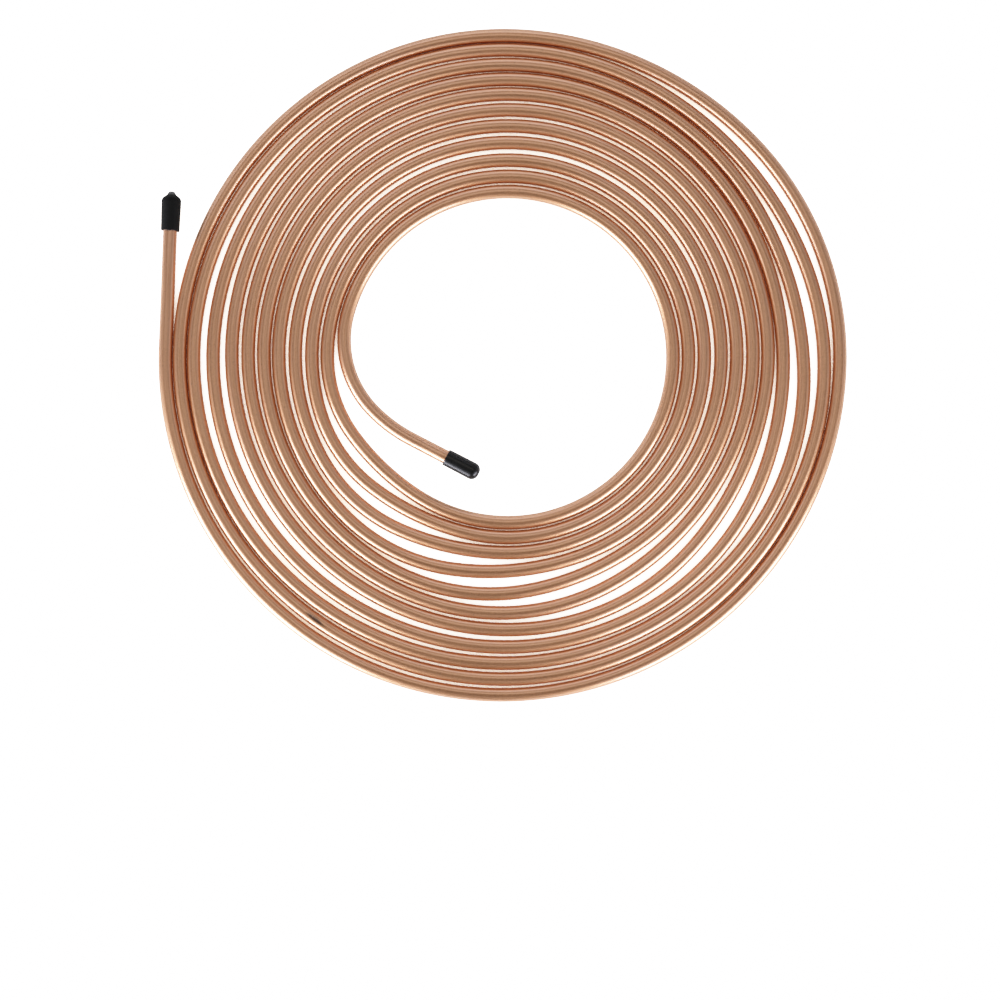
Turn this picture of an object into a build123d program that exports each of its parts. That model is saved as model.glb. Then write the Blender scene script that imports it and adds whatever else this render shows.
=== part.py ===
# Flat open coil of small copper tube with a push-on cap on each end
import math
import os

from build123d import *

os.makedirs("parts", exist_ok=True)

# Driving dimensions in millimetres and degrees
tube_od = 4.76
tube_wall = 0.71
end_chamfer = 0.2
coil_radius = 116.2

# Clear space left from each steady turn to the next one inward
turn_gaps = (1.12, 0.38, 0.56, 0.72, 0.46, 0.53, 0.56, 0.76, 0.96, 0.61, 0.39)

# Where the middle of each steady turn lies, outermost turn first
turn_centres = (
    (-0.95, 2.02), (0, 1.59), (-0.02, 1.9), (0.58, 2.11), (1.03, 2.6), (1.41, 2.73),
    (1.51, 2.59), (1.3, 2.42), (1.43, 2.24), (1.41, 1.94), (1.34, 1.76), (1.18, 1.67),
)

# Where each step inward to the next turn starts, and the angle that it takes
step_starts = (357.5, 343.4, 325.3, 296.2, 277.4, 254.9, 238.7, 223.6, 209, 194.8, 179.5)
step_spans = (86.4, 73.2, 66.9, 77.7, 74.1, 80.2, 73.8, 64.9, 61.1, 60, 57.3)

# Where a turn bows out of round: which turn, the bow's middle, half its angle and its depth outward
turn_bows = ((1, 190.6, 85.1, 1.02), (2, 195.1, 75.9, 1.39), (3, 205.1, 68.4, 0.69))

# Outer tail, which runs straight from its cap and bends a little tighter into the outermost turn
outer_leave_angle = 177.6
outer_lead_end = 252.2
outer_lead_tighter = 1.45
outer_level_run = 5.6
outer_rise_run = 33.9

# Inner tail, which leaves the innermost turn and bends across the eye of the coil
inner_leave_angle = 165.0
inner_first_bend = 58.6
inner_first_tighter = 22.4
inner_second_bend = 18.9
inner_second_tighter = 5.3
inner_level_run = 3.2
inner_rise_run = 10.3

# Push-on caps
fit_clearance = 0.04
cap_gap = 0.4
lip_rounding = 0.25

# Outer cap, which widens to a shoulder and ends in a small blunt cone
outer_cap_length = 13.5
outer_mouth_wall = 0.73
outer_body_wall = 0.98
outer_end_wall = 3.4
outer_shoulder_back = 2.5
outer_shoulder_rounding = 1.9
cone_od = 3.2
cone_height = 1.2
cone_foot_rounding = 0.9
cone_tip_od = 1.8
cone_tip_rounding = 0.7

# Inner cap, which ends in a plain dome
inner_cap_length = 12.6
inner_mouth_wall = 0.48
inner_body_wall = 0.58
inner_end_wall = 1.9
dome_flat_od = 1.0

# Sizes that follow from the ones above
tube_r = tube_od / 2
bore_r = tube_r - tube_wall
socket_r = tube_r + fit_clearance
outer_cap_r = socket_r + outer_body_wall
inner_cap_r = socket_r + inner_body_wall
outer_socket = outer_cap_length - outer_end_wall
inner_socket = inner_cap_length - inner_end_wall
turn_radii = [coil_radius - sum(turn_gaps[:i]) - tube_od * i for i in range(len(turn_gaps) + 1)]

# Rounded corners of each cap as a radius, a height above its mouth and a rounding
outer_cap_corners = (
    (socket_r + outer_mouth_wall, 0, lip_rounding),
    (outer_cap_r, outer_cap_length - outer_shoulder_back, outer_shoulder_rounding),
    (cone_od / 2, outer_cap_length - cone_height, cone_foot_rounding),
    (cone_tip_od / 2, outer_cap_length, cone_tip_rounding),
)
inner_cap_corners = (
    (socket_r + inner_mouth_wall, 0, lip_rounding),
    (inner_cap_r, inner_cap_length, inner_cap_r - dome_flat_od / 2),
)


# A leg of the tube's run: a level or rising arc, or a straight
def arc_leg(start, heading, toward, radius, angle):
    return {"start": start, "heading": heading, "toward": toward, "radius": radius, "angle": angle}


def line_leg(start, heading, length):
    return {"start": start, "heading": heading, "radius": None, "length": length}


# Point and heading at a share of a leg
def along(leg, share):
    if leg["radius"] is None:
        return leg["start"] + leg["heading"] * leg["length"] * share, leg["heading"]
    turn = math.radians(leg["angle"]) * share
    middle = leg["start"] + leg["toward"] * leg["radius"]
    spoke = leg["heading"] * math.sin(turn) - leg["toward"] * math.cos(turn)
    return middle + spoke * leg["radius"], leg["heading"] * math.cos(turn) + leg["toward"] * math.sin(turn)


def leg_length(leg):
    return leg["length"] if leg["radius"] is None else leg["radius"] * math.radians(leg["angle"])


# Level direction to the left of a level heading
def left_of(heading):
    return Vector(-heading.Y, heading.X, 0)


# Point and heading on a steady turn, or a little outside it; the turns go round anticlockwise
def on_turn(index, angle, outward=0):
    turn = math.radians(angle)
    out = Vector(math.cos(turn), math.sin(turn), 0)
    middle = Vector(turn_centres[index][0], turn_centres[index][1], tube_r)
    return middle + out * (turn_radii[index] + outward), left_of(out)


def steady_leg(index, first, last):
    start, heading = on_turn(index, first)
    return arc_leg(start, heading, left_of(heading), turn_radii[index], last - first)


# One level arc from a point and heading to a second point
def arc_to(start, heading, end):
    side = left_of(heading)
    step = end - start
    signed = step.dot(step) / (2 * step.dot(side))
    angle = math.degrees(2 * math.atan2(step.dot(side), step.dot(heading)))
    return arc_leg(start, heading, side * math.copysign(1, signed), abs(signed), abs(angle))


# Two tangent arcs from one point and heading to another
def joining_legs(start, heading, end, end_heading):
    step = end - start
    spread = 2 * (1 - heading.dot(end_heading))
    lean = step.dot(heading + end_heading)
    reach = (math.sqrt(lean * lean + spread * step.dot(step)) - lean) / spread
    joint = (start + end + (heading - end_heading) * reach) * 0.5
    first_arc = arc_to(start, heading, joint)
    joint, joint_heading = along(first_arc, 1)
    return [first_arc, arc_to(joint, joint_heading, end)]


# One turn from an angle to a later one, bowing out on the way where it is out of round
def round_legs(index, first, last):
    legs = []
    for turn, middle, half, outward in turn_bows:
        if turn == index:
            middle = next_after(middle, first)
            legs.append(steady_leg(index, first, middle - half))
            legs += joining_legs(*on_turn(index, middle - half), *on_turn(index, middle, outward))
            legs += joining_legs(*on_turn(index, middle, outward), *on_turn(index, middle + half))
            first = middle + half
    return legs + [steady_leg(index, first, last)]


# Two mirrored arcs that raise or lower a level tail over a run
def rise_legs(start, heading, run, height):
    angle = 2 * math.atan2(abs(height), run)
    radius = run / (2 * math.sin(angle))
    up = Vector(0, 0, math.copysign(1, height))
    first = arc_leg(start, heading, up, radius, math.degrees(angle))
    middle, slope = along(first, 1)
    back = heading * math.sin(angle) - up * math.cos(angle)
    return [first, arc_leg(middle, slope, back, radius, math.degrees(angle))]


# The same direction, met next after an earlier angle
def next_after(angle, earlier):
    while angle < earlier:
        angle += 360
    return angle


# From the end in the outer cap, down to the floor and along to the outermost turn
def outer_tail_legs():
    turn_start, turn_heading = on_turn(0, outer_lead_end)
    lead_radius = turn_radii[0] - outer_lead_tighter
    lead_angle = outer_lead_end - outer_leave_angle
    back = arc_leg(turn_start, turn_heading * -1, left_of(turn_heading), lead_radius, lead_angle)
    bend_start, back_heading = along(back, 1)
    heading = back_heading * -1
    lift = outer_cap_r - tube_r
    capped = outer_socket - cap_gap
    end = bend_start - heading * (outer_level_run + outer_rise_run + capped) + Vector(0, 0, lift)
    legs = [line_leg(end, heading, capped)]
    legs += rise_legs(along(legs[-1], 1)[0], heading, outer_rise_run, -lift)
    legs.append(line_leg(along(legs[-1], 1)[0], heading, outer_level_run))
    legs.append(arc_leg(bend_start, heading, left_of(heading), lead_radius, lead_angle))
    return legs


# Round every turn, each steady for most of the way and then stepping in by one place
def turn_legs():
    legs = []
    angle = outer_lead_end
    for index, (start, span) in enumerate(zip(step_starts, step_spans)):
        start = next_after(start, angle)
        legs += round_legs(index, angle, start)
        legs += joining_legs(*on_turn(index, start), *on_turn(index + 1, start + span))
        angle = start + span
    return legs + round_legs(len(step_starts), angle, next_after(inner_leave_angle, angle))


# Off the innermost turn in two bends, up from the floor and into the inner cap
def inner_tail_legs(start, heading):
    legs = []
    for bend, tighter in ((inner_first_bend, inner_first_tighter), (inner_second_bend, inner_second_tighter)):
        legs.append(arc_leg(start, heading, left_of(heading), turn_radii[-1] - tighter, bend))
        start, heading = along(legs[-1], 1)
    legs.append(line_leg(start, heading, inner_level_run))
    legs += rise_legs(along(legs[-1], 1)[0], heading, inner_rise_run, inner_cap_r - tube_r)
    legs.append(line_leg(along(legs[-1], 1)[0], heading, inner_socket - cap_gap))
    return legs


# Skin of one leg at one radius, without its ends
def leg_skin(leg, radius):
    plane = Plane(origin=leg["start"], x_dir=Vector(0, 0, 1).cross(leg["heading"]), z_dir=leg["heading"])
    disc = plane * Circle(radius)
    if leg["radius"] is None:
        body = extrude(disc, amount=leg["length"])
    else:
        hinge = Axis(leg["start"] + leg["toward"] * leg["radius"], leg["heading"].cross(leg["toward"]))
        body = revolve(disc, axis=hinge, revolution_arc=leg["angle"])
    return [face for face in body.faces() if face.geom_type != GeomType.PLANE]


# Flat ring that closes an end of the tube
def end_ring(point, heading):
    return (Plane(origin=point, z_dir=heading) * (Circle(tube_r) - Circle(bore_r))).faces()[0]


# One hollow solid along all the legs, with its outer rims broken
def build_tube(legs):
    faces = [face for leg in legs for radius in (tube_r, bore_r) for face in leg_skin(leg, radius)]
    tips = ((legs[0]["start"], legs[0]["heading"]), along(legs[-1], 1))
    tube = Solid(Shell(faces + [end_ring(*tip) for tip in tips]))
    for tip, _ in tips:
        rims = [edge for edge in tube.edges().filter_by(GeomType.CIRCLE) if edge.radius > bore_r]
        tube = chamfer(min(rims, key=lambda edge: (edge.arc_center - tip).length), end_chamfer)
    return tube


# Soft cap turned about Z, its mouth at the origin and its socket a blind bore
def build_cap(corners, length, socket):
    outline = [(socket_r, 0)] + [(r, height) for r, height, _ in corners]
    outline += [(0, length), (0, socket), (socket_r, socket)]
    profile = Plane.XZ * make_face(Polyline(*outline, close=True))
    for r, height, rounding in corners:
        corner = profile.vertices().sort_by_distance((r, 0, height))[0]
        profile = fillet(corner, rounding)
    return revolve(profile, axis=Axis.Z)


# A cap pushed on over an end of the tube, short of its socket's bottom by the cap gap
def cap_on(cap, tip, outward, socket):
    return Plane(origin=tip - outward * (socket - cap_gap), z_dir=outward).location * cap


# Middle of the coil's outline as seen from above
def plan_centre(legs):
    points = [along(leg, step / 60)[0] for leg in legs for step in range(61)]
    xs, ys = [p.X for p in points], [p.Y for p in points]
    return Vector((min(xs) + max(xs)) / 2, (min(ys) + max(ys)) / 2, 0)


# Least clear space between neighbouring stretches of the tube
def least_space(legs):
    points = [along(leg, step / 40)[0] for leg in legs for step in range(40)]
    walked = [0.0]
    for first, second in zip(points, points[1:]):
        walked.append(walked[-1] + (second - first).length)
    least = coil_radius
    for i, point in enumerate(points):
        for j in range(i + 1, len(points)):
            if walked[j] - walked[i] > 4 * tube_od and abs(points[j].X - point.X) < 2 * tube_od:
                least = min(least, (points[j] - point).length)
    return least - tube_od


legs = outer_tail_legs() + turn_legs()
legs += inner_tail_legs(*along(legs[-1], 1))
to_origin = Location(plan_centre(legs) * -1)
inner_tip, inner_outward = along(legs[-1], 1)
outer_cap = build_cap(outer_cap_corners, outer_cap_length, outer_socket)
inner_cap = build_cap(inner_cap_corners, inner_cap_length, inner_socket)
pieces = {
    "copper_tube": build_tube(legs),
    "outer_end_cap": cap_on(outer_cap, legs[0]["start"], legs[0]["heading"] * -1, outer_socket),
    "inner_end_cap": cap_on(inner_cap, inner_tip, inner_outward, inner_socket),
}

run = sum(leg_length(leg) for leg in legs)
section = math.pi * (tube_r ** 2 - bore_r ** 2)
print("run of tube", round(run, 1), "section x run", round(section * run, 1),
      "volume", round(pieces["copper_tube"].volume, 1), "least space", round(least_space(legs), 3))
for name, shape in pieces.items():
    shape = to_origin * shape
    box = shape.bounding_box()
    print(name, "valid", shape.is_valid, "from", [round(v, 2) for v in box.min],
          "to", [round(v, 2) for v in box.max])
    export_step(shape, f"parts/{name}.step")
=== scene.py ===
# Flat open coil of small copper tube with a push-on cap on each end
import math

import bmesh
import bpy
from mathutils import Matrix, Vector


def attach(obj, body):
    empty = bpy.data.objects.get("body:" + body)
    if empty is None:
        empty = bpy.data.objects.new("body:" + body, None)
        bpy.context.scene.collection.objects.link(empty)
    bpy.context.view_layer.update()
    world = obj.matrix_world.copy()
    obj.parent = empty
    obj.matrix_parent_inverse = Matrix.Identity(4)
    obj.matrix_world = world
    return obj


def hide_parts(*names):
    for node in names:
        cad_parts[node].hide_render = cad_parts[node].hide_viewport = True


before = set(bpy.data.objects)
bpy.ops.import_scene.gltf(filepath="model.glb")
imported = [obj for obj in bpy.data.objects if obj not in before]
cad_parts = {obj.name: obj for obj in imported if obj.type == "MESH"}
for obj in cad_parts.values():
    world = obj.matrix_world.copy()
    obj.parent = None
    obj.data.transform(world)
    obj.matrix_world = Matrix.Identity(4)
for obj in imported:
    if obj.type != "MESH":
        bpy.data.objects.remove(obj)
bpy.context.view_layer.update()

MM = 0.001
UP = Vector((0, 0, 1))

# Sizes of the tube and its caps, in millimetres and degrees
TUBE_OD = 4.76
TUBE_WALL = 0.71
END_CHAMFER = 0.2
COIL_RADIUS = 116.2
TURN_GAPS = (1.12, 0.38, 0.56, 0.72, 0.46, 0.53, 0.56, 0.76, 0.96, 0.61, 0.39)
TURN_CENTRES = (
    (-0.95, 2.02), (0, 1.59), (-0.02, 1.9), (0.58, 2.11), (1.03, 2.6), (1.41, 2.73),
    (1.51, 2.59), (1.3, 2.42), (1.43, 2.24), (1.41, 1.94), (1.34, 1.76), (1.18, 1.67),
)
STEP_STARTS = (357.5, 343.4, 325.3, 296.2, 277.4, 254.9, 238.7, 223.6, 209, 194.8, 179.5)
STEP_SPANS = (86.4, 73.2, 66.9, 77.7, 74.1, 80.2, 73.8, 64.9, 61.1, 60, 57.3)
TURN_BOWS = ((1, 190.6, 85.1, 1.02), (2, 195.1, 75.9, 1.39), (3, 205.1, 68.4, 0.69))
OUTER_LEAVE_ANGLE = 177.6
OUTER_LEAD_END = 252.2
OUTER_LEAD_TIGHTER = 1.45
OUTER_LEVEL_RUN = 5.6
OUTER_RISE_RUN = 33.9
INNER_LEAVE_ANGLE = 165.0
INNER_BENDS = ((58.6, 22.4), (18.9, 5.3))
INNER_LEVEL_RUN = 3.2
INNER_RISE_RUN = 10.3
FIT_CLEARANCE = 0.04
CAP_GAP = 0.4
LIP_ROUNDING = 0.25
OUTER_CAP = {"length": 13.5, "mouth_wall": 0.73, "body_wall": 0.98, "end_wall": 3.4}
INNER_CAP = {"length": 12.6, "mouth_wall": 0.48, "body_wall": 0.58, "end_wall": 1.9}
SHOULDER_BACK = 2.5
SHOULDER_ROUNDING = 1.9
CONE_OD = 3.2
CONE_HEIGHT = 1.2
CONE_FOOT_ROUNDING = 0.9
CONE_TIP_OD = 1.8
CONE_TIP_ROUNDING = 0.7
DOME_FLAT_OD = 1.0

TUBE_R = TUBE_OD / 2
BORE_R = TUBE_R - TUBE_WALL
SOCKET_R = TUBE_R + FIT_CLEARANCE
for cap in (OUTER_CAP, INNER_CAP):
    cap["radius"] = SOCKET_R + cap["body_wall"]
    cap["socket"] = cap["length"] - cap["end_wall"]
TURN_RADII = [COIL_RADIUS - sum(TURN_GAPS[:i]) - TUBE_OD * i for i in range(len(TURN_GAPS) + 1)]

# The finished meshes
TUBE_SIDES = 28
RING_SPACING = 2.55
BORE_RING_SPACING = 6.5


# A leg of the tube's run: an arc where it has a radius, or else a straight
class Leg:
    def __init__(self, start, heading, length=0.0, toward=None, radius=None, angle=0.0):
        self.start, self.heading, self.toward, self.radius = start, heading, toward, radius
        self.angle = math.radians(angle)
        self.length = length if radius is None else radius * self.angle

    def at(self, share):
        if self.radius is None:
            return self.start + self.heading * self.length * share, self.heading
        turn = self.angle * share
        spoke = self.heading * math.sin(turn) - self.toward * math.cos(turn)
        heading = self.heading * math.cos(turn) + self.toward * math.sin(turn)
        return self.start + (self.toward + spoke) * self.radius, heading


def left_of(heading):
    return Vector((-heading.y, heading.x, 0))


# Point and heading on a steady turn, or a little outside it
def on_turn(index, angle, outward=0):
    out = Vector((math.cos(math.radians(angle)), math.sin(math.radians(angle)), 0))
    middle = Vector((TURN_CENTRES[index][0], TURN_CENTRES[index][1], TUBE_R))
    return middle + out * (TURN_RADII[index] + outward), left_of(out)


def steady_leg(index, first, last):
    start, heading = on_turn(index, first)
    return Leg(start, heading, toward=left_of(heading), radius=TURN_RADII[index], angle=last - first)


# One level arc from a point and heading to a second point
def arc_to(start, heading, end):
    side = left_of(heading)
    step = end - start
    signed = step.dot(step) / (2 * step.dot(side))
    angle = math.degrees(2 * math.atan2(step.dot(side), step.dot(heading)))
    return Leg(start, heading, toward=side * math.copysign(1, signed), radius=abs(signed), angle=abs(angle))


# Two tangent arcs from one point and heading to another
def joining_legs(start, heading, end, end_heading):
    step = end - start
    spread = 2 * (1 - heading.dot(end_heading))
    lean = step.dot(heading + end_heading)
    reach = (math.sqrt(lean * lean + spread * step.dot(step)) - lean) / spread
    joint = (start + end + (heading - end_heading) * reach) * 0.5
    first_arc = arc_to(start, heading, joint)
    return [first_arc, arc_to(*first_arc.at(1), end)]


# One turn from an angle to a later one, bowing out on the way where it is out of round
def round_legs(index, first, last):
    legs = []
    for turn, middle, half, outward in TURN_BOWS:
        if turn == index:
            middle = next_after(middle, first)
            legs.append(steady_leg(index, first, middle - half))
            legs += joining_legs(*on_turn(index, middle - half), *on_turn(index, middle, outward))
            legs += joining_legs(*on_turn(index, middle, outward), *on_turn(index, middle + half))
            first = middle + half
    return legs + [steady_leg(index, first, last)]


# Two mirrored arcs that raise or lower a level tail over a run
def rise_legs(start, heading, run, height):
    angle = 2 * math.atan2(abs(height), run)
    radius = run / (2 * math.sin(angle))
    up = UP * math.copysign(1, height)
    first = Leg(start, heading, toward=up, radius=radius, angle=math.degrees(angle))
    middle, slope = first.at(1)
    back = heading * math.sin(angle) - up * math.cos(angle)
    return [first, Leg(middle, slope, toward=back, radius=radius, angle=math.degrees(angle))]


def next_after(angle, earlier):
    while angle < earlier:
        angle += 360
    return angle


# The whole run, from the end in the outer cap to the end in the inner cap
def tube_legs():
    end, end_heading = on_turn(0, OUTER_LEAD_END)
    lead_radius = TURN_RADII[0] - OUTER_LEAD_TIGHTER
    lead_angle = OUTER_LEAD_END - OUTER_LEAVE_ANGLE
    backward = Leg(end, -end_heading, toward=left_of(end_heading), radius=lead_radius, angle=lead_angle)
    start, heading = backward.at(1)
    heading = -heading
    lift = OUTER_CAP["radius"] - TUBE_R
    capped = OUTER_CAP["socket"] - CAP_GAP
    end = start - heading * (OUTER_LEVEL_RUN + OUTER_RISE_RUN + capped) + UP * lift
    legs = [Leg(end, heading, capped)]
    legs += rise_legs(legs[-1].at(1)[0], heading, OUTER_RISE_RUN, -lift)
    legs.append(Leg(legs[-1].at(1)[0], heading, OUTER_LEVEL_RUN))
    legs.append(Leg(start, heading, toward=left_of(heading), radius=lead_radius, angle=lead_angle))
    angle = OUTER_LEAD_END
    for index, (first, span) in enumerate(zip(STEP_STARTS, STEP_SPANS)):
        first = next_after(first, angle)
        legs += round_legs(index, angle, first)
        legs += joining_legs(*on_turn(index, first), *on_turn(index + 1, first + span))
        angle = first + span
    legs += round_legs(len(STEP_STARTS), angle, next_after(INNER_LEAVE_ANGLE, angle))
    for bend, tighter in INNER_BENDS:
        start, heading = legs[-1].at(1)
        legs.append(Leg(start, heading, toward=left_of(heading), radius=TURN_RADII[-1] - tighter, angle=bend))
    start, heading = legs[-1].at(1)
    legs.append(Leg(start, heading, INNER_LEVEL_RUN))
    legs += rise_legs(legs[-1].at(1)[0], heading, INNER_RISE_RUN, INNER_CAP["radius"] - TUBE_R)
    legs.append(Leg(legs[-1].at(1)[0], heading, INNER_CAP["socket"] - CAP_GAP))
    return legs


# Middle of the coil's outline as seen from above
def plan_centre(legs):
    points = [leg.at(step / 60)[0] for leg in legs for step in range(61)]
    xs, ys = [p.x for p in points], [p.y for p in points]
    return Vector(((min(xs) + max(xs)) / 2, (min(ys) + max(ys)) / 2, 0))


LEGS = tube_legs()
CENTRE = plan_centre(LEGS)


# One shader number, whose sums, products and powers add the Math nodes that work them out
class Amount:
    def __init__(self, finish, socket):
        self.finish, self.socket = finish, socket

    def combine(self, operation, first, second):
        node = self.finish.add("ShaderNodeMath", {"operation": operation}, {0: first, 1: second})
        return Amount(self.finish, node.outputs[0])

    def __add__(self, other):
        return self.combine("ADD", self, other)

    def __mul__(self, other):
        return self.combine("MULTIPLY", self, other)

    def __pow__(self, other):
        return self.combine("POWER", self, other)

    __radd__ = __add__
    __rmul__ = __mul__


# The node tree of one finish
class Finish:
    def __init__(self, name):
        self.material = bpy.data.materials.new(name)
        self.material.use_nodes = True
        self.tree = self.material.node_tree
        self.tree.nodes.clear()

    def add(self, kind, settings=None, sockets=None):
        node = self.tree.nodes.new(kind)
        for key, value in (settings or {}).items():
            if key == "stops":
                while len(node.color_ramp.elements) < len(value):
                    node.color_ramp.elements.new(0.5)
                for element, (place, colour) in zip(node.color_ramp.elements, value):
                    element.position, element.color = place, (*colour, 1)
            else:
                setattr(node, key, value)
        for key, value in (sockets or {}).items():
            value = value.socket if isinstance(value, Amount) else value
            if isinstance(value, bpy.types.NodeSocket):
                self.tree.links.new(value, node.inputs[key])
            else:
                node.inputs[key].default_value = value
        return node

    # Noise from 0 to 1 at a place in the pattern, with its mean at a half
    def noise(self, place, scale, detail, roughness=0.5):
        node = self.add("ShaderNodeTexNoise", {"noise_dimensions": "3D"},
                        {"Vector": place, "Scale": scale, "Detail": detail, "Roughness": roughness})
        return Amount(self, node.outputs["Fac"])

    # A place stretched by three factors and moved aside
    def stretched(self, place, factors, aside=(0, 0, 0)):
        return self.add("ShaderNodeVectorMath", {"operation": "MULTIPLY_ADD"},
                        {0: place, 1: factors, 2: aside}).outputs[0]

    # How far a place lies from a spot along a direction, in that direction's own length
    def part(self, place, spot, way):
        away = self.add("ShaderNodeVectorMath", {"operation": "SUBTRACT"}, {0: place, 1: spot}).outputs[0]
        node = self.add("ShaderNodeVectorMath", {"operation": "DOT_PRODUCT"}, {0: away, 1: way})
        return Amount(self, node.outputs["Value"])

    def blend(self, share, first, second):
        return self.add("ShaderNodeMix", {"data_type": "RGBA", "blend_type": "MIX"},
                        {0: share, 6: first, 7: second}).outputs[2]

    def ramp(self, value, stops):
        return self.add("ShaderNodeValToRGB", {"stops": stops}, {0: value}).outputs[0]

    # A smooth step of a number from 0 at one value to 1 at another
    def step(self, value, low, high):
        node = self.add("ShaderNodeMapRange", {"interpolation_type": "SMOOTHSTEP"},
                        {"Value": value, "From Min": low, "From Max": high})
        return Amount(self, node.outputs[0])

    # The shader with its values, and the relief of a height where it has one
    def close(self, values, height=None, bump=0.0, depth=0.0):
        sockets = dict(values)
        if height is not None:
            node = self.add("ShaderNodeBump", None, {"Strength": bump, "Distance": depth, "Height": height})
            sockets["Normal"] = node.outputs[0]
        shader = self.add("ShaderNodeBsdfPrincipled", None, sockets)
        self.add("ShaderNodeOutputMaterial", None, {"Surface": shader.outputs[0]})
        return self.material


# The picture's side is 1000 steps of 0.343 mm, and the turns' middle lies 504 across and 362 down in it
STEP = 0.343
PICTURE_SIDE = 1000
MIDDLE_ACROSS, MIDDLE_DOWN = 504, 362


# A spot of the picture as a place over the floor
def in_picture(across, down, height):
    return Vector(((across - MIDDLE_ACROSS) * STEP, (MIDDLE_DOWN - down) * STEP, height)) - CENTRE


# The middle, directions and half sizes of the one dark rubbed mark on the second turn
MARK = in_picture(315.5, 619, TUBE_OD) * MM
MARK_WAY = Vector((0.79, -0.61, 0))
MARK_SIDE = Vector((0.61, 0.79, 0))
MARK_LENGTH, MARK_WIDTH, MARK_DEPTH = 4.6 * MM, 0.75 * MM, 1.6 * MM
MARK_EDGE, MARK_FULL = 1.1, 0.15


# How the copper's patterns are stretched along the tube, and the relief of its grain
STREAK_STRETCH = (1, 1, 0.012)
LINE_STRETCH = (1, 1, 0.02)
TINT_STRETCH = (1, 1, 0.06)
SPECK_STRETCH = (1, 1, 0.7)
COPPER_BUMP, COPPER_RELIEF = 0.3, 0.03 * MM
COPPER_SHADES = ((0.36, (0.77, 0.375, 0.185)), (0.5, (0.90, 0.447, 0.225)), (0.64, (0.98, 0.515, 0.27)))
COPPER_TINT = (0.90, 0.47, 0.27, 1)
SPECK_BROWN = (0.35, 0.20, 0.13, 1)
MARK_BROWN = (0.055, 0.035, 0.025, 1)


# Drawn copper, satin, with sandy grain, faint tints, small dark specks and one rubbed mark
def copper_finish():
    f = Finish("drawn_copper")
    place = f.add("ShaderNodeAttribute", {"attribute_name": "straightened"}).outputs["Vector"]
    streaks = f.noise(f.stretched(place, STREAK_STRETCH), 900, 3)
    lines = f.noise(f.stretched(place, LINE_STRETCH, (5, 2, 3)), 2600, 2)
    tint = f.noise(f.stretched(place, TINT_STRETCH, (3, 1, 7)), 260, 2)
    sand = f.noise(place, 1900, 3, 0.7)
    cloud = f.noise(place, 28, 3)
    specks = f.step(f.noise(f.stretched(place, SPECK_STRETCH, (1, 8, 2)), 1100, 1), 0.72, 0.80)
    shade = streaks * 0.3 + cloud * 0.15 + lines * 0.15 + sand * 0.4
    colour = f.blend(f.step(tint, 0.50, 0.70) * 0.5, f.ramp(shade, COPPER_SHADES), COPPER_TINT)
    colour = f.blend(specks * 0.3, colour, SPECK_BROWN)
    spot = f.add("ShaderNodeTexCoord").outputs["Object"]
    spread = f.part(spot, MARK, MARK_WAY / MARK_LENGTH) ** 2
    spread = spread + f.part(spot, MARK, MARK_SIDE / MARK_WIDTH) ** 2
    spread = spread + f.part(spot, MARK, UP / MARK_DEPTH) ** 2
    worn = f.step(streaks * 0.5 + sand * 0.5, 0.36, 0.5)
    colour = f.blend(f.step(spread, MARK_EDGE, MARK_FULL) * worn * 0.85, colour, MARK_BROWN)
    values = {"Base Color": colour, "Roughness": 0.31 + 0.08 * streaks + 0.10 * sand, "Metallic": 1.0,
              "Coat Weight": 1.0, "Coat Roughness": 0.2, "Coat IOR": 2.0}
    return f.close(values, sand * 0.7 + lines * 0.3, COPPER_BUMP, COPPER_RELIEF)


# Vinyl's relief, its painted grey sheen, and how far from the tip that painted sheen fades and is full
VINYL_RELIEF = 0.04 * MM
PAINTED_SHEEN_GREY = (0.34, 0.34, 0.33, 1)
SHEEN_EDGE, SHEEN_FULL = 2.6 * MM, 0.6 * MM


# Soft black vinyl, matte or glossy, with a grey sheen painted round its tip, a painted highlight where the tip
# catches the light
def vinyl_finish(name, colour, sheen, gloss, tip, tip_sheen, bump):
    f = Finish(name)
    place = f.add("ShaderNodeTexCoord").outputs["Object"]
    grain = f.noise(place, 2600, 3, 0.6)
    smear = f.noise(place, 420, 2)
    reach = f.add("ShaderNodeVectorMath", {"operation": "DISTANCE"}, {0: place, 1: tip}).outputs["Value"]
    base = f.blend(smear, (*colour, 1), (*(1.6 * c for c in colour), 1))
    # Painted sheen: the grey mixed in round the tip stands in for the light that the tip catches
    base = f.blend(f.step(reach, SHEEN_EDGE, SHEEN_FULL) * tip_sheen * (0.5 + smear), base, PAINTED_SHEEN_GREY)
    values = {"Base Color": base, "Roughness": sheen + 0.12 * smear + 0.08 * grain,
              "IOR": 1.5, "Specular IOR Level": gloss}
    return f.close(values, grain * 0.5 + smear * 0.5, bump, VINYL_RELIEF)


# The floor's surface, and the glow of its layer that lights the tube
FLOOR_ROUGHNESS = 0.9
FLOOR_WHITES = (0.90, 0.90, 0.90, 1), (0.93, 0.93, 0.93, 1)
FLOOR_GLOW = 0.3


# Plain white floor that lights the tube softly from below
def white_floor_finish():
    f = Finish("white_floor")
    place = f.add("ShaderNodeTexCoord").outputs["Object"]
    return f.close({"Base Color": f.blend(f.noise(place, 9, 2), *FLOOR_WHITES), "Roughness": FLOOR_ROUGHNESS,
                    "Emission Color": (1, 1, 1, 1), "Emission Strength": FLOOR_GLOW})


# Painted shade and painted bounced light: what the seen floor's glow falls to, cream and then dark brown, as the
# turns over it close in, within a reach
PAINTED_SLIT_SHADE = ((0.0, (0.010, 0.003, 0.001)), (0.25, (0.55, 0.40, 0.29)), (0.5, (1.0, 0.96, 0.91)), (0.75, (1, 1, 1)))
SLIT_SHADE_REACH = 8 * MM
SLIT_SHADE_TRIES = 4
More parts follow.
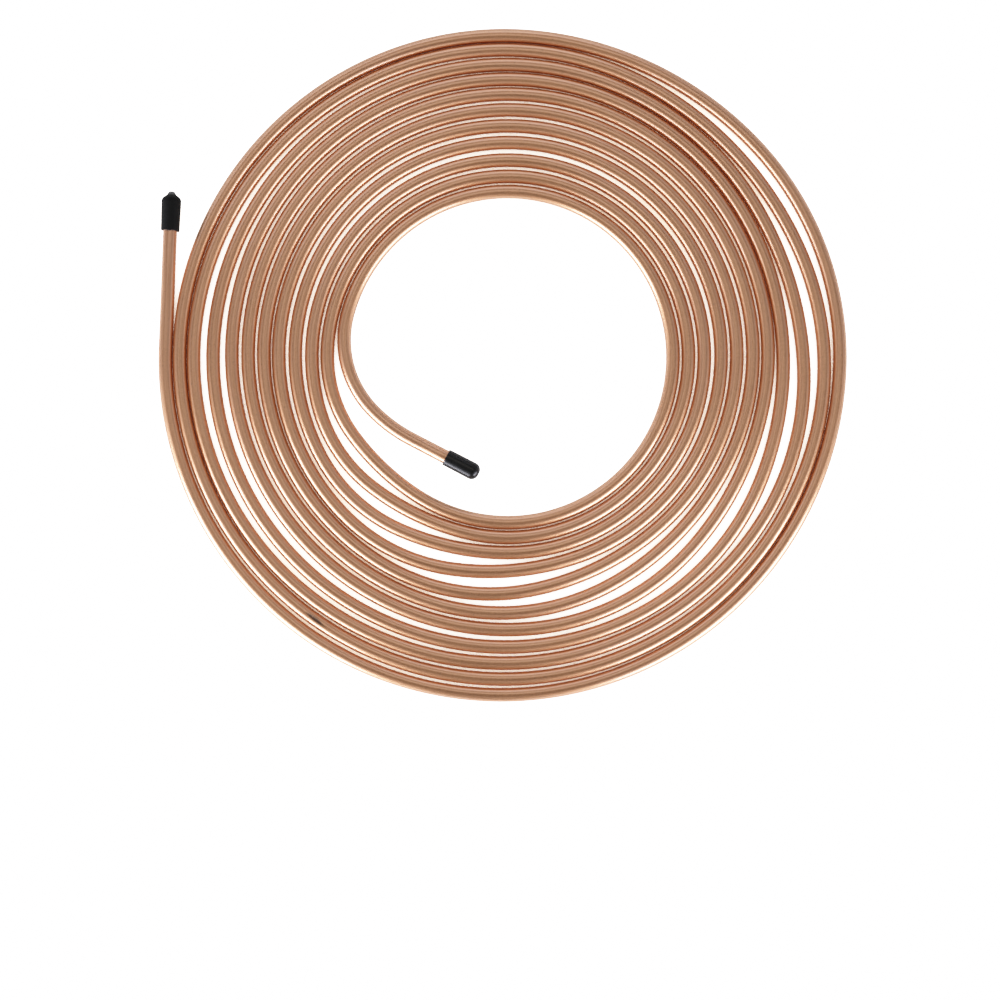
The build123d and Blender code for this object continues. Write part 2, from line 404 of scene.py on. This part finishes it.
# The seen floor's own brown, which shows as painted shade in the slits where its glow falls away
PAINTED_SLIT_BROWN = (0.25, 0.10, 0.04, 1)
SEEN_FLOOR_GLOW = 4.4


# The floor as the camera sees it, burnt out to white, with painted shade that turns it dark where turns nearly
# touch over it
def seen_floor_finish():
    f = Finish("bright_floor_with_painted_shade")
    openness = f.add("ShaderNodeAmbientOcclusion", {"samples": SLIT_SHADE_TRIES}, {"Distance": SLIT_SHADE_REACH})
    # Painted shade and painted bounced light: the glow is ramped down by how closed in the floor is
    glow = f.ramp(openness.outputs["AO"], PAINTED_SLIT_SHADE)
    return f.close({"Base Color": PAINTED_SLIT_BROWN, "Roughness": FLOOR_ROUGHNESS,
                    "Emission Color": glow, "Emission Strength": SEEN_FLOOR_GLOW})


COPPER = copper_finish()
OUTER_TIP = (LEGS[0].start - LEGS[0].heading * (OUTER_CAP["end_wall"] + CAP_GAP) - CENTRE) * MM
INNER_TIP = (LEGS[-1].at(1)[0] + LEGS[-1].heading * (INNER_CAP["end_wall"] + CAP_GAP) - CENTRE) * MM
VINYL_BLACK = (0.010, 0.010, 0.009)
# The outer cap gets the full painted grey sheen round its tip, and the inner cap gets none
OUTER_VINYL = vinyl_finish("matte_black_vinyl", VINYL_BLACK, 0.5, 0.22, OUTER_TIP, 1.0, 0.3)
INNER_VINYL = vinyl_finish("glossy_black_vinyl", VINYL_BLACK, 0.2, 0.5, INNER_TIP, 0.0, 0.1)


def new_object(name, mesh):
    obj = bpy.data.objects.new(name, mesh)
    bpy.context.scene.collection.objects.link(obj)
    return obj


# The line of the tube's middle as a mesh of edges, its two last points drawn in by the chamfer
def line_mesh():
    total = sum(leg.length for leg in LEGS)
    points = [LEGS[0].start, LEGS[0].at(END_CHAMFER / LEGS[0].length)[0]]
    for leg in LEGS:
        count = max(2, round(leg.length / RING_SPACING))
        first = 1
        last = count if leg is LEGS[-1] else count + 1
        points += [leg.at(step / count)[0] for step in range(first, last)]
    points += [LEGS[-1].at(1 - END_CHAMFER / LEGS[-1].length)[0], LEGS[-1].at(1)[0]]
    mesh = bpy.data.meshes.new("tube_line")
    mesh.from_pydata([(p - CENTRE) * MM for p in points], [(i, i + 1) for i in range(len(points) - 1)], [])
    swell = mesh.attributes.new("swell", "FLOAT", "POINT")
    drawn = (TUBE_R - END_CHAMFER) / TUBE_R
    swell.data.foreach_set("value", [drawn] + [1.0] * (len(points) - 2) + [drawn])
    print("tube line points", len(points), "length", round(total, 1))
    return mesh


# Geometry Nodes group that sweeps the outer skin and the bore of a tube along a line
def tube_group():
    tree = bpy.data.node_groups.new("drawn_tube", "GeometryNodeTree")
    names = (("Line", "Geometry"), ("Tube radius", "Float"), ("Bore radius", "Float"),
             ("Sides", "Int"), ("Bore ring spacing", "Float"), ("Finish", "Material"))
    for name, kind in names:
        tree.interface.new_socket(name=name, in_out="INPUT", socket_type="NodeSocket" + kind)
    tree.interface.new_socket(name="Tube", in_out="OUTPUT", socket_type="NodeSocketGeometry")

    def add(kind, settings=None, sockets=None):
        node = tree.nodes.new(kind)
        for key, value in (settings or {}).items():
            setattr(node, key, value)
        for key, value in (sockets or {}).items():
            if isinstance(value, bpy.types.NodeSocket):
                tree.links.new(value, node.inputs[key])
            else:
                node.inputs[key].default_value = value
        return node.outputs

    given = add("NodeGroupInput")
    line = add("GeometryNodeMeshToCurve", None, {0: given["Line"]})[0]
    line = add("GeometryNodeSetCurveNormal", {"mode": "Z_UP"}, {0: line})[0]
    run = add("GeometryNodeSplineParameter")["Length"]
    line = add("GeometryNodeStoreNamedAttribute", {"data_type": "FLOAT", "domain": "POINT"},
               {"Geometry": line, "Name": "run", "Value": run})[0]

    def skin(line, radius):
        ring = add("GeometryNodeCurvePrimitiveCircle", {"mode": "RADIUS"},
                   {"Resolution": given["Sides"], "Radius": radius})[0]
        ring = add("GeometryNodeStoreNamedAttribute", {"data_type": "FLOAT_VECTOR", "domain": "POINT"},
                   {"Geometry": ring, "Name": "across", "Value": add("GeometryNodeInputPosition")[0]})[0]
        return add("GeometryNodeCurveToMesh", None, {"Curve": line, "Profile Curve": ring})[0]

    swell = add("GeometryNodeInputNamedAttribute", {"data_type": "FLOAT"}, {"Name": "swell"})[0]
    outer_line = add("GeometryNodeSetCurveRadius", None, {"Curve": line, "Radius": swell})[0]
    bore_line = add("GeometryNodeResampleCurve", {"mode": "LENGTH"},
                    {"Curve": line, "Length": given["Bore ring spacing"]})[0]
    bore_line = add("GeometryNodeSetCurveRadius", None, {"Curve": bore_line, "Radius": 1.0})[0]
    bore = add("GeometryNodeFlipFaces", None, {0: skin(bore_line, given["Bore radius"])})[0]
    both = tree.nodes.new("GeometryNodeJoinGeometry")
    for piece in (skin(outer_line, given["Tube radius"]), bore):
        tree.links.new(piece, both.inputs[0])
    across = add("GeometryNodeInputNamedAttribute", {"data_type": "FLOAT_VECTOR"}, {"Name": "across"})[0]
    run = add("GeometryNodeInputNamedAttribute", {"data_type": "FLOAT"}, {"Name": "run"})[0]
    parts = add("ShaderNodeSeparateXYZ", None, {0: across})
    place = add("ShaderNodeCombineXYZ", None, {0: parts[0], 1: parts[1], 2: run})[0]
    tube = add("GeometryNodeStoreNamedAttribute", {"data_type": "FLOAT_VECTOR", "domain": "POINT"},
               {"Geometry": both.outputs[0], "Name": "straightened", "Value": place})[0]
    tube = add("GeometryNodeSetShadeSmooth", None, {"Geometry": tube})[0]
    tube = add("GeometryNodeRealizeInstances", None, {0: tube})[0]
    tube = add("GeometryNodeSetMaterial", None, {"Geometry": tube, "Material": given["Finish"]})[0]
    add("NodeGroupOutput", None, {0: tube})
    return tree


# The evaluated result of a group on a base mesh, as a plain mesh of its own
def made_by(group, base, inputs, name):
    source = new_object(name + "_source", base)
    modifier = source.modifiers.new(name, "NODES")
    modifier.node_group = group
    for item in group.interface.items_tree:
        if item.in_out == "INPUT" and item.name in inputs:
            modifier[item.identifier] = inputs[item.name]
    graph = bpy.context.evaluated_depsgraph_get()
    mesh = bpy.data.meshes.new_from_object(source.evaluated_get(graph), depsgraph=graph)
    mesh.name = name
    source.modifiers.clear()
    bpy.data.objects.remove(source)
    return mesh


# Closes each end of the tube with the flat ring between its outer rim and its bore
def close_ends(mesh):
    solid = bmesh.new()
    solid.from_mesh(mesh)
    rims = [edge for edge in solid.edges if edge.is_boundary]
    for tip in (LEGS[0].start, LEGS[-1].at(1)[0]):
        near = (tip - CENTRE) * MM
        ends = [edge for edge in rims if (edge.verts[0].co - near).length < TUBE_OD * MM]
        bmesh.ops.bridge_loops(solid, edges=ends)
    bmesh.ops.recalc_face_normals(solid, faces=solid.faces)
    solid.to_mesh(mesh)
    solid.free()
    mesh.set_sharp_from_angle(angle=math.radians(35))


def build_tube():
    inputs = {"Tube radius": TUBE_R * MM, "Bore radius": BORE_R * MM, "Sides": TUBE_SIDES,
              "Bore ring spacing": BORE_RING_SPACING * MM, "Finish": COPPER}
    mesh = made_by(tube_group(), line_mesh(), inputs, "copper_tube_skin")
    close_ends(mesh)
    tube = new_object("wound_copper_tube", mesh)
    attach(tube, "root")
    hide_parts("copper_tube")


# A corner between two straights, rounded, as points of radius and height
def rounded(before, corner, after, rounding, count=10):
    before, corner, after = Vector(before), Vector(corner), Vector(after)
    one, two = (before - corner).normalized(), (after - corner).normalized()
    half = one.angle(two) / 2
    reach = rounding / math.tan(half)
    middle = corner + (one + two).normalized() * (rounding / math.sin(half))
    first, last = corner + one * reach - middle, corner + two * reach - middle
    sweep = first.angle(last)
    points = []
    for step in range(count + 1):
        share = step / count
        spoke = first * math.sin((1 - share) * sweep) + last * math.sin(share * sweep)
        points.append(middle + spoke / math.sin(sweep))
    return points


# Outline of a cap from its socket's bottom, out over the mouth and up to the tip
def cap_outline(cap, corners):
    spots = [(SOCKET_R, 0)] + [(r, height) for r, height, _ in corners] + [(0, cap["length"])]
    points = [Vector((SOCKET_R, cap["socket"])), Vector((SOCKET_R, cap["socket"] / 2)), Vector((SOCKET_R, 0))]
    for place, (r, height, rounding) in enumerate(corners):
        points += rounded(spots[place], spots[place + 1], spots[place + 2], rounding)
    fine = [points[0]]
    for point in points[1:]:
        pieces = max(1, math.ceil((point - fine[-1]).length / 0.8))
        start = fine[-1]
        fine += [start.lerp(point, (k + 1) / pieces) for k in range(pieces)]
    return fine


# A turned shape, closed at the tip and at the socket's bottom
def build_cap(name, node, slot, finish, cap, corners, tip, outward, wear, steps=72):
    outline = cap_outline(cap, corners)
    shape = bmesh.new()
    side = UP.cross(outward).normalized()
    mouth = tip - outward * (cap["socket"] - CAP_GAP)
    rings = []
    for r, height in outline:
        ring = []
        for step in range(steps):
            turn = math.tau * step / steps
            way = side * math.cos(turn) + UP * math.sin(turn)
            lift, shrink = wear(turn, height)
            point = mouth + outward * (height + lift) + way * (r - shrink)
            ring.append(shape.verts.new((point - CENTRE) * MM))
        rings.append(ring)
    for first, second in zip(rings, rings[1:]):
        for step in range(steps):
            after = (step + 1) % steps
            shape.faces.new((first[step], first[after], second[after], second[step]))
    for ring, height in ((rings[0], cap["socket"]), (rings[-1], cap["length"])):
        pole = shape.verts.new((mouth + outward * height - CENTRE) * MM)
        for step in range(steps):
            shape.faces.new((ring[step], ring[(step + 1) % steps], pole))
    bmesh.ops.recalc_face_normals(shape, faces=shape.faces)
    mesh = bpy.data.meshes.new(name)
    shape.to_mesh(mesh)
    shape.free()
    mesh.materials.append(finish)
    mesh.shade_smooth()
    mesh.set_sharp_from_angle(angle=math.radians(50))
    piece = new_object(name, mesh)
    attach(piece, "root")
    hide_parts(node)


# How far the outer cap's mouth is trimmed askew, wavy and rippled, how far it flares and where that fades
TRIM_SKEW, TRIM_WAVE, TRIM_RIPPLE = 0.14, 0.09, 0.05
MOUTH_FLARE = 0.05
TRIM_FADE = 1.1


# A cap's lift along its length and its shrink at a turn and height
def outer_wear(turn, height):
    near = math.exp(-height / TRIM_FADE)
    trim = TRIM_SKEW * math.cos(turn - 0.4) + TRIM_WAVE * math.sin(3 * turn + 1) + TRIM_RIPPLE * math.sin(7 * turn)
    return near * trim, -MOUTH_FLARE * near


def inner_wear(turn, height):
    return 0.0, 0.0


def build_caps():
    outer_corners = (
        (SOCKET_R + OUTER_CAP["mouth_wall"], 0, LIP_ROUNDING),
        (OUTER_CAP["radius"], OUTER_CAP["length"] - SHOULDER_BACK, SHOULDER_ROUNDING),
        (CONE_OD / 2, OUTER_CAP["length"] - CONE_HEIGHT, CONE_FOOT_ROUNDING),
        (CONE_TIP_OD / 2, OUTER_CAP["length"], CONE_TIP_ROUNDING),
    )
    inner_corners = (
        (SOCKET_R + INNER_CAP["mouth_wall"], 0, LIP_ROUNDING),
        (INNER_CAP["radius"], INNER_CAP["length"], INNER_CAP["radius"] - DOME_FLAT_OD / 2),
    )
    build_cap("outer_black_cap", "outer_end_cap", "outer_cap_vinyl", OUTER_VINYL, OUTER_CAP, outer_corners,
              LEGS[0].start, LEGS[0].heading * -1, outer_wear)
    build_cap("inner_black_cap", "inner_end_cap", "inner_cap_vinyl", INNER_VINYL, INNER_CAP, inner_corners,
              *LEGS[-1].at(1), inner_wear)


def aim(obj, target):
    obj.rotation_euler = (Vector(target) - obj.location).to_track_quat("-Z", "Y").to_euler()


# How high the camera hangs over the tube's middle, in millimetres
CAMERA_HEIGHT = 1000.0


# Straight above the picture's middle, with the picture's side just in view
def build_camera():
    middle = in_picture(PICTURE_SIDE / 2, PICTURE_SIDE / 2, TUBE_R)
    data = bpy.data.cameras.new("camera")
    data.sensor_width = 36.0
    data.lens = data.sensor_width * CAMERA_HEIGHT / (PICTURE_SIDE * STEP)
    data.clip_start, data.clip_end = 0.01, 20
    camera = bpy.data.objects.new("camera", data)
    camera.location = (middle + UP * CAMERA_HEIGHT) * MM
    bpy.context.scene.collection.objects.link(camera)
    bpy.context.scene.camera = camera


def softbox(name, azimuth, elevation, distance, width, tall, radiance, colour):
    data = bpy.data.lights.new(name, "AREA")
    data.shape = "RECTANGLE"
    data.size, data.size_y = width, tall
    data.energy = radiance * math.pi * width * tall
    data.color = colour
    light = bpy.data.objects.new(name, data)
    a, e = math.radians(azimuth), math.radians(elevation)
    light.location = Vector((math.cos(a) * math.cos(e), math.sin(a) * math.cos(e), math.sin(e))) * distance
    aim(light, (0, 0, 0))
    light.visible_camera = False
    bpy.context.scene.collection.objects.link(light)


# Name, azimuth, elevation, distance, width, height, radiance and colour of each softbox
COOL, CLEAR = (0.95, 0.96, 1.08), (1.0, 0.94, 0.90)
LIGHTS = (
    ("left_low_softbox", 221, 5, 0.6, 0.5, 0.105, 24, COOL),
    ("left_softbox", 221, 15, 0.6, 0.46, 0.105, 14, COOL),
    ("left_upper_softbox", 221, 26, 0.6, 0.42, 0.12, 4.2, COOL),
    ("left_high_softbox", 221, 42, 0.6, 0.38, 0.2, 0.4, COOL),
    ("right_low_softbox", 313, 5, 0.6, 0.5, 0.105, 8, COOL),
    ("right_softbox", 313, 15, 0.6, 0.46, 0.105, 16, COOL),
    ("right_upper_softbox", 313, 26, 0.6, 0.42, 0.12, 4.6, COOL),
    ("right_high_softbox", 313, 42, 0.6, 0.36, 0.2, 0.7, COOL),
    ("far_softbox", 90, 24, 0.9, 0.65, 0.5, 1.4, COOL),
    ("far_left_softbox", 135, 24, 0.9, 0.65, 0.5, 1.2, COOL),
    ("far_right_softbox", 45, 24, 0.9, 0.65, 0.5, 0.6, COOL),
    ("side_left_softbox", 180, 24, 0.9, 0.65, 0.5, 0.35, COOL),
    ("side_right_softbox", 0, 24, 0.9, 0.65, 0.5, 0.5, COOL),
    ("top_far_softbox", 90, 70, 0.8, 0.42, 0.4, 0.72, CLEAR),
    ("top_far_left_softbox", 150, 68, 0.8, 0.42, 0.4, 0.60, CLEAR),
    ("top_far_right_softbox", 30, 68, 0.8, 0.42, 0.4, 0.54, CLEAR),
    ("top_left_softbox", 210, 68, 0.8, 0.42, 0.4, 0.06, CLEAR),
    ("top_right_softbox", 330, 68, 0.8, 0.42, 0.4, 0.05, CLEAR),
)


# The floor's reach to each side and the drop to its dimmer layer, in metres, and the world's brightness
FLOOR_REACH = 3.0
FLOOR_DROP = 0.2 * MM
WORLD_GLOW = 0.08


# The floor as the camera sees it, or the dimmer one that lights and mirrors in the tube
def build_floor(name, height, finish, seen):
    mesh = bpy.data.meshes.new(name)
    corners = ((-1, -1), (1, -1), (1, 1), (-1, 1))
    mesh.from_pydata([(x * FLOOR_REACH, y * FLOOR_REACH, height) for x, y in corners], [], [(0, 1, 2, 3)])
    mesh.materials.append(finish)
    floor = new_object(name, mesh)
    floor.visible_camera = seen
    floor.visible_glossy = floor.visible_diffuse = floor.visible_shadow = not seen


def build_stage():
    build_floor("floor", 0.0, seen_floor_finish(), True)
    build_floor("floor_glow", -FLOOR_DROP, white_floor_finish(), False)
    for light in LIGHTS:
        softbox(*light)
    world = bpy.data.worlds.new("studio")
    world.use_nodes = True
    background = world.node_tree.nodes["Background"]
    background.inputs["Color"].default_value = (1, 1, 1, 1)
    background.inputs["Strength"].default_value = WORLD_GLOW
    bpy.context.scene.world = world


# Brightness in the picture for scene brightness, with a short toe and a soft shoulder
RESPONSE = (
    (0, 0), (0.02, 0.009), (0.06, 0.038), (0.12, 0.088), (0.25, 0.195), (0.4, 0.31),
    (0.6, 0.45), (0.9, 0.62), (1.3, 0.79), (1.8, 0.915), (2.4, 0.975), (3.5, 1.0),
)


def build_response():
    view = bpy.context.scene.view_settings
    view.view_transform = "Standard"
    view.use_curve_mapping = True
    top = RESPONSE[-1][0]
    view.curve_mapping.white_level = (top, top, top)
    points = view.curve_mapping.curves[3].points
    while len(points) < len(RESPONSE):
        points.new(0.5, 0.5)
    for point, (light, shown) in zip(points, RESPONSE):
        point.location = (light / top, shown)
    view.curve_mapping.update()


build_tube()
build_caps()
build_camera()
build_stage()
build_response()
